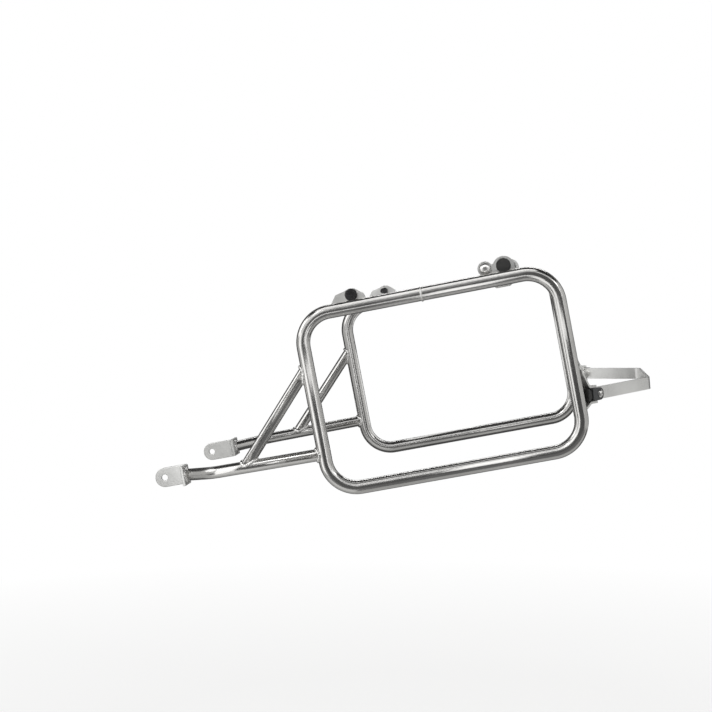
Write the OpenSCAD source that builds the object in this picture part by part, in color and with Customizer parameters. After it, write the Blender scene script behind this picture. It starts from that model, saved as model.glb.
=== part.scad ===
// Pannier frame of bent and welded tube: a loop on each side, carried by struts and lugs,
// and a flat bar that braces the two loops behind. X runs to the rear, Y across, Z up.
// The origin is on the axis of the front fixing bores, midway between the two sides.

/* [Tube] */
// Outside diameter of the loop tubes
tube_d = 18; // [17.5:0.5:20]
// Outside diameter of the struts
strut_d = 16; // [14:0.5:17]
// Outside diameter of the diagonal braces
brace_d = 15; // [12:0.5:15.5]
// Wall of every tube
tube_wall = 1.5; // [1:0.1:2.5]
// Diameter of the vent hole inside each welded tube joint
vent_d = 4; // [2:0.5:6]

/* [Loops] */
// Length of a loop, front centreline to rear centreline
loop_l = 330; // [300:1:380]
// Height of a loop, bottom centreline to top centreline
loop_h = 228; // [200:1:260]
// Centreline radius of the four bends of a loop
loop_bend_r = 40; // [30:1:50]
// Distance between the centre planes of the two loops
loop_spacing = 480; // [450:1:560]
// Rise of the loops towards the rear, in degrees
loop_tilt = 10.9; // [0:0.1:14]
// Distance of the butt weld in the top tube from the front centreline of the loop
seam_from_front = 161; // [140:1:190]

/* [Front strut] */
// Distance from the front fixing axis to the front centreline of the loop
strut_reach = 231.5; // [210:0.5:260]
// Height of the strut above the bottom centreline of the loop
strut_h = 50; // [45:1:70]
// Angle at which the strut leaves the loop inboard, in degrees
strut_toe_in = 7; // [4:0.5:10]
// Straight length of the strut, from the front centreline of the loop to its bend
strut_run = 142; // [135:1:160]
// Centreline radius of the bend of the strut
strut_bend_r = 36; // [25:1:50]

/* [Diagonal brace] */
// Distance from the front centreline of the loop to the foot of the brace on the strut
brace_run = 107; // [90:1:120]
// Distance of the head of the brace below the upper bend of the loop
brace_head_drop = 24; // [18:1:40]

/* [Front flange] */
// Thickness of the folded flange
flange_t = 4; // [3:0.5:6]
// Height of the flange
flange_h = 26; // [22:1:32]
// Distance from the front fixing axis to the face that carries the strut
flange_reach = 35; // [30:0.5:45]
// Distance between the outer faces of the two bolted flange legs
flange_spacing = 322; // [290:1:322]
// Diameter of the fixing bore
flange_bore_d = 8.5; // [6.5:0.1:10.5]
// Outside radius of the fold
flange_fold_r = 6; // [5:0.5:9]

/* [Upper lugs] */
// Thickness of the lugs
lug_t = 4; // [3:0.5:6]
// Height of the fixing bolts above the centreline of the top tube
lug_bolt_rise = 16; // [15.5:0.5:20]
// Distance of the lower edge of the front lug below the centreline of the top tube
front_lug_drop = 7; // [6.5:0.5:10]
// Distance of the lower edge of the rear lug below the centreline of the top tube
rear_lug_drop = 11; // [10:0.5:15]
// Diameter of the bolt bores in the lugs
lug_bore_d = 8.4; // [8.2:0.1:9]
// Distance of the front bolt from the front centreline of the loop
front_bolt_at = 71.5; // [65:0.5:90]
// Distance of the rear bolt from the rear centreline of the loop
rear_bolt_at = 84.5; // [80:0.5:110]
// Distance of the rubber bush behind the rear bolt
bush_at = 23.5; // [23:0.5:30]
// Diameter of the hole that holds the rubber bush
bush_d = 16; // [12:0.5:17]
// Width of the steel ring round the rubber bush
eye_w = 6; // [4:0.5:7]

/* [Upper bolts] */
// Diameter of the bolt shank
bolt_d = 8; // [6:0.5:8]
// Length of the shank under the head
bolt_l = 35; // [25:1:50]
// Diameter of the head flange and of the washer
bolt_washer_d = 16; // [15:0.5:17]
// Thickness of the washer
washer_t = 1.6; // [1:0.1:2.5]
// Width across the flats of the hexagon head
hex_af = 13; // [10:0.5:13]

/* [Rear cross brace] */
// Height of the flat bar
bar_h = 16; // [14:0.5:20]
// Thickness of the flat bar
bar_t = 4; // [3:0.5:6]
// Distance between the two bends, measured where the straight runs would meet
bar_base_w = 205; // [190:1:280]
// Distance from the rear tubes back to the middle run of the bar
bar_reach = 98; // [85:1:115]
// Inside radius of the bends of the bar
bar_bend_r = 24; // [10:1:30]
// Height of the bar above the front strut, at the rear tube
bar_rise = 14; // [10:1:40]
// Rise of the bar towards the rear, in degrees
bar_tilt = 5.3; // [0:0.1:8]

/* [Rear brackets] */
// Thickness of the folded bracket
bracket_t = 3; // [2:0.5:4]
// Height of the bracket on the tube above the bar
bracket_up = 34; // [26:1:40]
// Height of the bracket on the tube below the bar
bracket_down = 20; // [16:1:26]
// Distance from the tube centreline at which the bracket has narrowed to its channel
channel_from = 20; // [18:1:24]
// Distance from the tube centreline to the ends of the channel walls
channel_to = 34; // [28:1:36]
// Depth of the flanges in front of the web
channel_deep = 9; // [6:0.5:12]
// Distance from the tube centreline to the clamp screw
screw_at = 37; // [36.5:0.5:42]

/* [Clamp] */
// Thickness of the clamp block
block_t = 8; // [6:0.5:12]
// Length of the clamp block in front of the screw
block_front = 15.5; // [12:0.5:16]
// Diameter of the clamp screw
screw_d = 6; // [5:0.5:8]
// Diameter of the head of the clamp screw
screw_head_d = 10.5; // [9:0.5:14]
// Height of the head of the clamp screw
screw_head_h = 3.3; // [2.5:0.1:5]
// Distance of the front of the rubber buffer from the tube centreline
buffer_from = 12.5; // [12:0.5:14]
// Height of the rubber buffer
buffer_h = 17; // [14:0.5:20]
// Thickness of the rubber buffer
buffer_t = 11; // [8:0.5:14]

/* [Welds] */
// Size of the weld beads round the tubes
bead = 2.5; // [1.5:0.1:3.5]
// Size of the weld beads along the lugs and the rear brackets
lug_bead = 1.8; // [1:0.1:2]
// Width of the butt weld round the top tube
seam_w = 4; // [2:0.5:6]
// Height of the butt weld above the tube
seam_h = 0.5; // [0.3:0.1:1]

/* [Clearances] */
// Gap between a bolt and its bore, on the radius
bolt_gap = 0.2; // [0.1:0.05:0.4]
// Gap between the bar and each channel wall
channel_gap = 0.5; // [0.3:0.1:1]

/* [Hidden] */
$fn = 96;

// A cut runs this far past the face that it starts on
over = 1;
tube_r = tube_d / 2;
bore_r = tube_r - tube_wall;
strut_r = strut_d / 2;
brace_r = brace_d / 2;
loop_y = loop_spacing / 2;
loop_front = strut_reach;
loop_rear = strut_reach + loop_l;
loop_bottom = -strut_h;
loop_top = loop_h - strut_h;

// The strut lies level with the front fixing axis and turns once, by the angle whose
// sine is 0.6, within a wedge of that angle; it meets the flange at strut_front_y
strut_bend = 36.8699;
strut_wedge = [[0, 0], [0, 100], [60, 80]];
strut_turn = strut_run + strut_bend_r * tan(strut_bend / 2);
strut_turn_x = loop_front - strut_turn * cos(strut_toe_in);
strut_turn_y = -loop_y + strut_turn * sin(strut_toe_in);
strut_front_y = strut_turn_y + (strut_turn_x - flange_reach) * tan(strut_toe_in + strut_bend);
strut_lead = (strut_turn_x - flange_reach) / cos(strut_toe_in + strut_bend) + tube_d;

// The foot of the brace lies on the straight run of the strut
brace_rise = loop_top - loop_bend_r - brace_head_drop;
brace_foot = [loop_front - brace_run, -loop_y + brace_run * tan(strut_toe_in), 0];
brace_head = [loop_front, -loop_y, brace_rise];

// Height of the bolts in the lugs, and the inner side of the top tube that the lugs lie on
lug_bolt_z = loop_top + lug_bolt_rise;
lug_face_y = -(loop_y - tube_r);
front_bolt_x = loop_front + front_bolt_at;
rear_bolt_x = loop_rear - rear_bolt_at;
bush_x = rear_bolt_x + bush_at;
bush_lip = 1.25;
bush_lip_t = 1.5;
eye_r = bush_d / 2 + eye_w;

// Each arm of the bar points at the centreline of its rear tube
arm_turn = atan2(loop_y - bar_base_w / 2, bar_reach);
arm_l = norm([loop_y - bar_base_w / 2, bar_reach]);
arm_from = screw_at - block_front;
bar_bend = 90 - arm_turn;
channel_half = bar_h / 2 + channel_gap;
channel_out = channel_half + bracket_t;
bracket_from = tube_r / 2;
flare_up = atan2(bracket_up - channel_out, channel_from - bracket_from);
flare_down = atan2(bracket_down - channel_out, channel_from - bracket_from);
screw_bore_d = screw_d + 2 * bolt_gap;
nut_af = screw_d * 1.65;
nut_h = screw_d;
clamp_washer_t = washer_t;
clamp_washer_d = screw_d * 2;

function angle_of(v) = atan2(v[1], v[0]);
function unit(v) = v / norm(v);

// Corner b between a and c, rounded by radius r in n steps
function corner(a, b, c, r, n = 6) =
    r == 0 ? [b] :
    let (
        u = unit(a - b),
        v = unit(c - b),
        half = acos(u * v) / 2,
        centre = b + unit(u + v) * r / sin(half),
        start = b + u * r / tan(half) - centre,
        stop = b + v * r / tan(half) - centre,
        a0 = angle_of(start),
        sweep = (angle_of(stop) - a0 + 540) % 360 - 180
    )
    [for (i = [0:n]) centre + r * [cos(a0 + sweep * i / n), sin(a0 + sweep * i / n)]];

// Outline through corners of the form [x, y, radius], each rounded in n steps
function outline(p, n = 6) =
    [for (i = [0:len(p) - 1])
        let (a = p[(i + len(p) - 1) % len(p)], b = p[i], c = p[(i + 1) % len(p)])
        each corner([a[0], a[1]], [b[0], b[1]], [c[0], c[1]], b[2], n)];

// Left half of the outline of the bar seen from above, from its middle round one arm
function half_bar() =
    let (
        along = [cos(arm_turn), sin(arm_turn)],
        across = [-sin(arm_turn), cos(arm_turn)] * bar_t / 2,
        tip = [0, -loop_y] + arm_from * along,
        bend = [bar_reach, -bar_base_w / 2],
        skin = [1, -tan(bar_bend / 2)] * bar_t / 2
    )
    [
        [each bend - skin, bar_bend_r],
        [each tip + across, 0],
        [each tip - across, 0],
        [each bend + skin, bar_bend_r + bar_t]
    ];

function mirrored(p) = [for (i = [len(p) - 1:-1:0]) [p[i][0], -p[i][1], p[i][2]]];

// The frame of one side: the tubes lie level in it, and the right side mirrors the left
module side(name) {
    mirror([0, name == "right" ? 1 : 0, 0])
        rotate([0, -loop_tilt, 0])
            children();
}

// Both sides, for fasteners that share a node
module both_sides() {
    side("left") children();
    side("right") children();
}

// Plane of the bar, with its origin at mid width on the line between the rear tubes
module bar_plane() {
    rotate([0, -loop_tilt, 0])
        translate([loop_rear, 0, bar_rise])
            rotate([0, loop_tilt - bar_tilt, 0])
                children();
}

// Along the left arm: X runs from the rear tube to the bend, Y points inboard, Z up
module arm_frame() {
    translate([0, -loop_y, 0])
        rotate([0, 0, arm_turn])
            children();
}

module arm(name) {
    bar_plane()
        mirror([0, name == "right" ? 1 : 0, 0])
            arm_frame()
                children();
}

module both_arms() {
    arm("left") children();
    arm("right") children();
}

// A straight rod of radius r from p to q, lengthened by e at its far end
module rod(p, q, r, e = 0) {
    d = q - p;
    l = norm(d);
    translate(p)
        rotate([0, acos(d[2] / l), atan2(d[1], d[0])])
            cylinder(r = r, h = l + e);
}

module upright_rod(x, y, z0, z1, r) {
    translate([x, y, z0]) cylinder(r = r, h = z1 - z0);
}

// The loop as a solid ring of radius r, in the XZ plane
module loop_ring(r) {
    half_l = loop_l / 2 - loop_bend_r;
    half_h = loop_h / 2 - loop_bend_r;
    translate([loop_front + loop_l / 2, -loop_y, loop_bottom + loop_h / 2])
        rotate([90, 0, 0]) {
            for (s = [-1, 1]) {
                translate([-half_l, s * loop_h / 2, 0])
                    rotate([0, 90, 0])
                        cylinder(r = r, h = 2 * half_l);
                translate([s * loop_l / 2, half_h, 0])
                    rotate([90, 0, 0])
                        cylinder(r = r, h = 2 * half_h);
            }
            for (q = [0:3]) {
                translate([(q == 0 || q == 3 ? 1 : -1) * half_l, (q < 2 ? 1 : -1) * half_h, 0])
                    rotate([0, 0, 90 * q])
                        rotate_extrude(angle = 90)
                            translate([loop_bend_r, 0])
                                circle(r = r);
            }
        }
}

// Along the strut: X runs forward from the front centreline of the loop
module strut_frame() {
    translate([loop_front, -loop_y, 0])
        rotate([0, 0, 180 - strut_toe_in])
            children();
}

module strut_run_rod(r) {
    strut_frame()
        rotate([0, 90, 0])
            cylinder(r = r, h = strut_run);
}

// The strut as a solid rod of radius r; its ends are cut by what they meet
module strut_rod(r) {
    strut_run_rod(r);
    strut_frame()
        translate([strut_run, -strut_bend_r, 0]) {
            intersection() {
                rotate_extrude()
                    translate([strut_bend_r, 0])
                        circle(r = r);
                translate([0, 0, -tube_d])
                    linear_extrude(height = 2 * tube_d)
                        polygon(strut_wedge);
            }
            rotate([0, 0, -strut_bend])
                translate([0, strut_bend_r, 0])
                    rotate([0, 90, 0])
                        cylinder(r = r, h = strut_lead);
        }
}

module front_tube_rod(r) {
    upright_rod(loop_front, -loop_y, loop_bottom + loop_bend_r, loop_top - loop_bend_r, r);
}

module top_tube_rod(r) {
    translate([loop_front + loop_bend_r, -loop_y, loop_top])
        rotate([0, 90, 0])
            cylinder(r = r, h = loop_l - 2 * loop_bend_r);
}

module brace_rod(r) {
    rod(brace_foot, brace_head, r);
}

// Everything in front of the face that carries the strut
module before_flange_face() {
    translate([flange_reach - 4 * tube_d, -loop_y - tube_d, -tube_d])
        cube([4 * tube_d, loop_y, 2 * tube_d]);
}

module loop_tube(name) {
    color([0.76, 0.76, 0.75])
        side(name)
            difference() {
                loop_ring(tube_r);
                loop_ring(bore_r);
                vents();
            }
}

// Vent holes through the front tube, inside the joints with the strut and the brace
module vents() {
    for (z = [0, brace_rise])
        translate([loop_front, -loop_y, z])
            rotate([0, -90, 0])
                cylinder(d = vent_d, h = tube_d);
}

module front_strut(name) {
    color([0.76, 0.76, 0.75])
        side(name)
            difference() {
                strut_rod(strut_r);
                strut_rod(strut_r - tube_wall);
                front_tube_rod(tube_r);
                before_flange_face();
            }
}

module diagonal_brace(name) {
    color([0.76, 0.76, 0.75])
        side(name)
            difference() {
                brace_rod(brace_r);
                brace_rod(brace_r - tube_wall);
                front_tube_rod(tube_r);
                strut_run_rod(strut_r);
            }
}

// Folded flange: one leg is bolted up, the other carries the strut
module front_flange(name) {
    inner = -(flange_spacing / 2 - flange_t);
    outer = -flange_spacing / 2;
    tip = strut_front_y - strut_r / cos(strut_toe_in + strut_bend) - bead - 3;
    color([0.72, 0.72, 0.71])
        side(name)
            difference() {
                translate([0, 0, -flange_h / 2])
                    linear_extrude(height = flange_h)
                        polygon(outline([
                            [-flange_h / 2, inner, 0],
                            [flange_reach, inner, flange_fold_r],
                            [flange_reach, tip, 0],
                            [flange_reach - flange_t, tip, 0],
                            [flange_reach - flange_t, outer, flange_fold_r - flange_t],
                            [-flange_h / 2, outer, 0]
                        ]));
                flange_round_end();
                translate([0, outer - over, 0])
                    rotate([-90, 0, 0])
                        cylinder(d = flange_bore_d, h = flange_t + 2 * over);
            }
}

// What is cut from the bolted leg to leave its end round about the bore
module flange_round_end() {
    translate([-flange_h, -flange_spacing / 2 - over, 0])
        rotate([-90, 0, 0])
            linear_extrude(height = flange_t + 2 * over)
                difference() {
                    translate([0, -flange_h])
                        square([flange_h, 2 * flange_h]);
                    translate([flange_h, 0])
                        circle(d = flange_h);
                }
}

// A lug: an outline in the plane of the loop, extruded inboard from the side of the tube
module lug_plate() {
    translate([0, lug_face_y + lug_t, 0])
        rotate([90, 0, 0])
            linear_extrude(height = lug_t)
                children();
}

module lug_bore(x) {
    translate([x, lug_bolt_z])
        circle(d = lug_bore_d);
}

module upper_front_lug(name) {
    low = loop_top - front_lug_drop;
    color([0.78, 0.78, 0.77])
        side(name)
            lug_plate()
                difference() {
                    polygon(outline([
                        [front_bolt_x - 24, low, 3],
                        [front_bolt_x + 14, low, 3],
                        [front_bolt_x + 18, loop_top + 8, 2],
                        [front_bolt_x + 16, loop_top + 15, 2],
                        [front_bolt_x + 5, lug_bolt_z + 7.5, 3],
                        [front_bolt_x - 3, lug_bolt_z + 7.5, 3],
                        [front_bolt_x - 9, lug_bolt_z + 5.5, 2],
                        [front_bolt_x - 20, lug_bolt_z + 3, 3],
                        [front_bolt_x - 28, loop_top + 8, 3]
                    ]));
                    lug_bore(front_bolt_x);
                }
}

module upper_rear_lug(name) {
    low = loop_top - rear_lug_drop;
    color([0.78, 0.78, 0.77])
        side(name)
            lug_plate()
                difference() {
                    union() {
                        translate([bush_x, lug_bolt_z - 2])
                            circle(r = eye_r);
                        translate([rear_bolt_x, lug_bolt_z])
                            circle(d = bolt_washer_d + 3);
                        polygon(outline([
                            [rear_bolt_x - 8, lug_bolt_z - 5, 0],
                            [rear_bolt_x, loop_top + 2, 4],
                            [bush_x - 14, low, 3],
                            [bush_x + 5, low, 3],
                            [bush_x + eye_r, loop_top + 2, 3],
                            [bush_x + eye_r, lug_bolt_z - 2, 0],
                            [rear_bolt_x + 8, lug_bolt_z, 0]
                        ]));
                    }
                    lug_bore(rear_bolt_x);
                    translate([bush_x, lug_bolt_z])
                        circle(d = bush_d);
                }
}

// Rubber bush with a lip on each face of the lug
module lug_bush(name) {
    color([0.08, 0.08, 0.08])
        side(name)
            translate([bush_x, lug_face_y - bush_lip_t, lug_bolt_z])
                rotate([-90, 0, 0]) {
                    cylinder(d = bush_d, h = lug_t + 2 * bush_lip_t);
                    cylinder(d = bush_d + 2 * bush_lip, h = bush_lip_t);
                    translate([0, 0, lug_t + bush_lip_t])
                        cylinder(d = bush_d + 2 * bush_lip, h = bush_lip_t);
                }
}

// Axis of an upper bolt: Z runs inboard from the outer face of the lug
module bolt_axis(x) {
    translate([x, lug_face_y, lug_bolt_z])
        rotate([-90, 0, 0])
            children();
}

// Hexagon bolts with a flange under the head
module upper_front_bolts() {
    flange_rim = 1.2;
    head_h = 5.3;
    color([0.07, 0.07, 0.07])
        both_sides()
            bolt_axis(front_bolt_x) {
                cylinder(d = bolt_d, h = bolt_l);
                translate([0, 0, -flange_rim])
                    cylinder(d = bolt_washer_d, h = flange_rim);
                translate([0, 0, -head_h])
                    cylinder(d = hex_af / cos(30), h = head_h, $fn = 6);
            }
}

module upper_rear_washers() {
    color([0.75, 0.75, 0.75])
        both_sides()
            bolt_axis(rear_bolt_x)
                translate([0, 0, -washer_t])
                    difference() {
                        cylinder(d = bolt_washer_d, h = washer_t);
                        translate([0, 0, -over])
                            cylinder(d = bolt_d + 2 * bolt_gap, h = washer_t + 2 * over);
                    }
}

// Button head: a slice of a ball over a short rim, with a hexagon socket
module button_head(d, h, socket) {
    rim = 0.6;
    rise = h - rim;
    ball_r = (pow(d / 2, 2) + pow(rise, 2)) / (2 * rise);
    difference() {
        union() {
            cylinder(d = d, h = rim);
            intersection() {
                translate([0, 0, rim]) cylinder(d = d, h = rise);
                translate([0, 0, h - ball_r]) sphere(r = ball_r);
            }
        }
        translate([0, 0, h - 0.6 * h])
            cylinder(d = socket / cos(30), h = h, $fn = 6);
    }
}

module upper_rear_bolts() {
    color([0.78, 0.78, 0.78])
        both_sides()
            bolt_axis(rear_bolt_x) {
                translate([0, 0, -washer_t])
                    cylinder(d = bolt_d, h = bolt_l + washer_t);
                translate([0, 0, -washer_t])
                    rotate([180, 0, 0])
                        button_head(bolt_d * 1.75, bolt_d * 0.55, bolt_d * 0.625);
            }
}

// Solid rod of the rear tube, seen from the plane of the bar
module rear_tube_in_arm(r) {
    rotate([0, 0, -arm_turn])
        rotate([0, bar_tilt - loop_tilt, 0])
            translate([0, 0, -loop_h / 3])
                cylinder(r = r, h = 2 * loop_h / 3);
}

// Outline of the bracket in the plane of its web, set in by the thickness of a flange
module bracket_outline(inset, past) {
    edge = channel_out - inset;
    top = channel_from - inset * tan(flare_up / 2);
    low = channel_from - inset * tan(flare_down / 2);
    polygon(outline([
        [bracket_from, -edge - (low - bracket_from) * tan(flare_down), 0],
        [low, -edge, 4 + inset],
        [channel_to + past, -edge, 0],
        [channel_to + past, edge, 0],
        [top, edge, 4 + inset],
        [bracket_from, edge + (top - bracket_from) * tan(flare_up), 0]
    ]));
}

// Web inboard of the bar, with a round end about the screw, and a flange along each edge
// that flares from the channel out to the tube
module bracket_body() {
    translate([0, bar_t / 2 + bracket_t, 0])
        rotate([90, 0, 0])
            linear_extrude(height = bracket_t)
                difference() {
                    union() {
                        bracket_outline(0, 0);
                        translate([channel_from, -channel_half])
                            square([screw_at - channel_from, 2 * channel_half]);
                        translate([screw_at, 0])
                            circle(r = channel_half);
                    }
                    translate([screw_at, 0])
                        circle(d = screw_bore_d);
                }
    translate([0, bar_t / 2, 0])
        rotate([90, 0, 0])
            linear_extrude(height = channel_deep)
                difference() {
                    bracket_outline(0, 0);
                    bracket_outline(bracket_t, over);
                }
}

module rear_bracket(name) {
    color([0.76, 0.76, 0.75])
        arm(name)
            difference() {
                bracket_body();
                rear_tube_in_arm(tube_r);
            }
}

// Rubber buffer between the tube and the clamp block: a disc with its front cut flat
module buffer(name) {
    gap = 1.5;
    to = arm_from - gap;
    color([0.07, 0.07, 0.07])
        arm(name)
            translate([0, bar_t / 2, 0])
                rotate([90, 0, 0])
                    linear_extrude(height = buffer_t)
                        intersection() {
                            translate([to - buffer_h / 2, 0])
                                circle(d = buffer_h);
                            translate([buffer_from, -buffer_h])
                                square(2 * buffer_h);
                        }
}

// Moulded block that clamps the end of the bar, with its rear end round about the screw
module clamp_block(name) {
    color([0.09, 0.09, 0.09])
        arm(name)
            translate([0, -bar_t / 2, 0])
                rotate([90, 0, 0])
                    linear_extrude(height = block_t)
                        difference() {
                            union() {
                                translate([screw_at, 0])
                                    circle(d = bar_h);
                                polygon(outline([
                                    [arm_from, -bar_h / 2, 1.5],
                                    [screw_at, -bar_h / 2, 0],
                                    [screw_at, bar_h / 2, 0],
                                    [arm_from, bar_h / 2, 1.5]
                                ]));
                            }
                            translate([screw_at, 0])
                                circle(d = screw_bore_d);
                        }
}

// Axis of a clamp screw: Z runs outboard from the web
module screw_axis() {
    translate([screw_at, 0, 0])
        rotate([90, 0, 0])
            children();
}

module clamp_screws() {
    back = -(bar_t / 2 + bracket_t + clamp_washer_t + nut_h + 1);
    head = bar_t / 2 + block_t;
    color([0.78, 0.78, 0.78])
        both_arms()
            screw_axis() {
                translate([0, 0, back])
                    cylinder(d = screw_d, h = head - back);
                translate([0, 0, head])
                    button_head(screw_head_d, screw_head_h, screw_d * 0.667);
            }
}

module clamp_washers() {
    color([0.75, 0.75, 0.75])
        both_arms()
            screw_axis()
                translate([0, 0, -(bar_t / 2 + bracket_t + clamp_washer_t)])
                    difference() {
                        cylinder(d = clamp_washer_d, h = clamp_washer_t);
                        translate([0, 0, -over])
                            cylinder(d = screw_bore_d, h = clamp_washer_t + 2 * over);
                    }
}

// Nuts; the bore clears the screw by the same gap as the other bores
module clamp_nuts() {
    color([0.75, 0.75, 0.75])
        both_arms()
            screw_axis()
                translate([0, 0, -(bar_t / 2 + bracket_t + clamp_washer_t + nut_h)])
                    difference() {
                        cylinder(d = nut_af / cos(30), h = nut_h, $fn = 6);
                        translate([0, 0, -over])
                            cylinder(d = screw_bore_d, h = nut_h + 2 * over);
                    }
}

module rear_cross_brace() {
    color([0.8, 0.8, 0.79])
        difference() {
            bar_plane()
                translate([0, 0, -bar_h / 2])
                    linear_extrude(height = bar_h)
                        polygon(outline(concat(half_bar(), mirrored(half_bar())), 12));
            both_arms()
                screw_axis()
                    translate([0, 0, -bar_t])
                        cylinder(d = screw_bore_d, h = 2 * bar_t);
        }
}

// Weld beads: each fills the corner between two pieces, and holds neither of them
module strut_to_loop_bead() {
    difference() {
        intersection() {
            strut_run_rod(strut_r + bead);
            front_tube_rod(tube_r + bead);
        }
        strut_run_rod(strut_r);
        front_tube_rod(tube_r);
    }
}

module brace_to_loop_bead() {
    difference() {
        intersection() {
            brace_rod(brace_r + bead);
            front_tube_rod(tube_r + bead);
        }
        brace_rod(brace_r);
        front_tube_rod(tube_r);
    }
}

module brace_to_strut_bead() {
    difference() {
        intersection() {
            brace_rod(brace_r + bead);
            strut_run_rod(strut_r + bead);
        }
        brace_rod(brace_r);
        strut_run_rod(strut_r);
    }
}

module strut_to_flange_bead() {
    difference() {
        intersection() {
            strut_rod(strut_r + bead);
            translate([flange_reach, -loop_y, -tube_d])
                cube([bead, loop_y, 2 * tube_d]);
        }
        strut_rod(strut_r);
    }
}

// Two beads along a lug, above and below the line where it touches the top tube
module lug_beads(x0, x1) {
    reach = 2 * lug_bead;
    difference() {
        intersection() {
            top_tube_rod(tube_r + lug_bead);
            translate([x0, lug_face_y - reach, loop_top - tube_d])
                cube([x1 - x0, reach, 2 * tube_d]);
        }
        top_tube_rod(tube_r);
    }
}

// Room that the bead leaves round the bush
module round_bush() {
    translate([bush_x, lug_face_y - tube_r, lug_bolt_z])
        rotate([-90, 0, 0])
            cylinder(r = bush_d / 2 + bush_lip + bolt_gap, h = tube_r);
}

module seam_bead() {
    translate([loop_front + seam_from_front - seam_w / 2, -loop_y, loop_top])
        rotate([0, 90, 0])
            difference() {
                cylinder(r = tube_r + seam_h, h = seam_w);
                translate([0, 0, -over])
                    cylinder(r = tube_r, h = seam_w + 2 * over);
            }
}

module bracket_beads() {
    difference() {
        intersection() {
            rear_tube_in_arm(tube_r + lug_bead);
            translate([0, bar_t / 2 + bracket_t + lug_bead, 0])
                rotate([90, 0, 0])
                    linear_extrude(height = bracket_t + 2 * lug_bead)
                        bracket_outline(bracket_t, 0);
        }
        rear_tube_in_arm(tube_r);
        translate([0, bar_t / 2, -bracket_down])
            cube([channel_from, bracket_t, bracket_up + bracket_down]);
    }
}

module weld_beads(name) {
    color([0.7, 0.69, 0.66]) {
        side(name) {
            strut_to_loop_bead();
            brace_to_loop_bead();
            brace_to_strut_bead();
            strut_to_flange_bead();
            lug_beads(front_bolt_x - 22, front_bolt_x + 13);
            difference() {
                lug_beads(bush_x - 12, bush_x + 9);
                round_bush();
            }
            seam_bead();
        }
        arm(name)
            bracket_beads();
    }
}

loop_tube("left");  // left_loop_tube
loop_tube("right");  // right_loop_tube
front_strut("left");  // left_front_strut
front_strut("right");  // right_front_strut
diagonal_brace("left");  // left_diagonal_brace
diagonal_brace("right");  // right_diagonal_brace
front_flange("left");  // left_front_flange
front_flange("right");  // right_front_flange
upper_front_lug("left");  // left_upper_front_lug
upper_front_lug("right");  // right_upper_front_lug
upper_rear_lug("left");  // left_upper_rear_lug
upper_rear_lug("right");  // right_upper_rear_lug
rear_bracket("left");  // left_rear_bracket
rear_bracket("right");  // right_rear_bracket
weld_beads("left");  // left_weld_beads
weld_beads("right");  // right_weld_beads
lug_bush("left");  // left_lug_bush
lug_bush("right");  // right_lug_bush
buffer("left");  // left_buffer
buffer("right");  // right_buffer
clamp_block("left");  // left_clamp_block
clamp_block("right");  // right_clamp_block
rear_cross_brace();
upper_front_bolts();
upper_rear_bolts();
upper_rear_washers();
clamp_screws();
clamp_washers();
clamp_nuts();
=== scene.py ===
# %% [markdown]
# # A pannier frame of polished stainless tube
# The solids come finished from the CAD frame, and every size in them is fixed. This lesson gives
# them the looks of the real thing: rounded plate edges, rippled weld beads, threads on the bolts,
# and metal, rubber and moulded plastic that answer to light as the real ones do.

# %% Load the frame
import math

import bmesh
import bpy
from mathutils import Matrix, Vector


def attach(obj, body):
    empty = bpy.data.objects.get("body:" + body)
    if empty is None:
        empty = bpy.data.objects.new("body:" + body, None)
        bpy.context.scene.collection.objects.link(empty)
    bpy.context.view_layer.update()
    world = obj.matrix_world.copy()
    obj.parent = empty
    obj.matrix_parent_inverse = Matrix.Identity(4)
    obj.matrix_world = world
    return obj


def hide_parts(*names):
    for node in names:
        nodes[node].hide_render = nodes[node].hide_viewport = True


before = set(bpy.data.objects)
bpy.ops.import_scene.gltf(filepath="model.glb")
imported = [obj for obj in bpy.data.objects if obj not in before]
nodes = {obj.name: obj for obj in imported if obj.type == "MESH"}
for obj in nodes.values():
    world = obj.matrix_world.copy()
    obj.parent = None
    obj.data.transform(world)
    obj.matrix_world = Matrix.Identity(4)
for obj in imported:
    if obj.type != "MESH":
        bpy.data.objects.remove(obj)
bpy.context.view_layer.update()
scene = bpy.context.scene

# %% [markdown]
# The CAD model was drawn with each loop level, then raised by its tilt about the front fixing
# axis. The same turn gives a weld its place here, so the beads are worked out in the level frame,
# in millimetres, and turned and scaled once they are made.

# %% The frame of one side
MM = 0.001
TUBE_R = 9.0
LOOP_Y = 240.0
LOOP_FRONT = 231.5
LOOP_REAR = 561.5
LOOP_TOP = 178.0
LOOP_BOTTOM = -50.0
LOOP_BEND_R = 40.0
LOOP_TILT = math.radians(10.9)
side_turn = Matrix.Rotation(-LOOP_TILT, 4, "Y")
to_metres = Matrix.Scale(MM, 4) @ side_turn
print(f"a loop is {LOOP_REAR - LOOP_FRONT:g} by {LOOP_TOP - LOOP_BOTTOM:g} mm")

# %% [markdown]
# The photograph was taken with a long lens from the left and a little in front. A lens of 82 mm
# on a 36 mm sensor sees about 25 degrees, and the loop's own edges give the place and the aim.

# %% Camera
AZIMUTH = math.radians(6.43)
DOWN = math.radians(2.96)
camera = bpy.data.objects.new("camera", bpy.data.cameras.new("camera"))
camera.data.sensor_width = 36.0
camera.data.lens = 81.6
camera.data.clip_end = 50.0
camera.location = (0.49858, -2.28248, 0.27604)
level_part = math.cos(DOWN)
aim = Vector((-math.sin(AZIMUTH) * level_part, math.cos(AZIMUTH) * level_part, -math.sin(DOWN)))
camera.rotation_euler = aim.to_track_quat("-Z", "Y").to_euler()
scene.collection.objects.link(camera)
scene.camera = camera
print(f"camera {camera.location.length:.2f} m from the front axis")

# %% [markdown]
# Colours are written as sRGB hex, as a colour picker shows them, while the shader works in linear
# light, so one function turns the one into the other. A second adds a node with its settings and
# links, which keeps each material below short enough to read. It sets a node's properties before
# its inputs, because a property can change which inputs there are.

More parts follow.
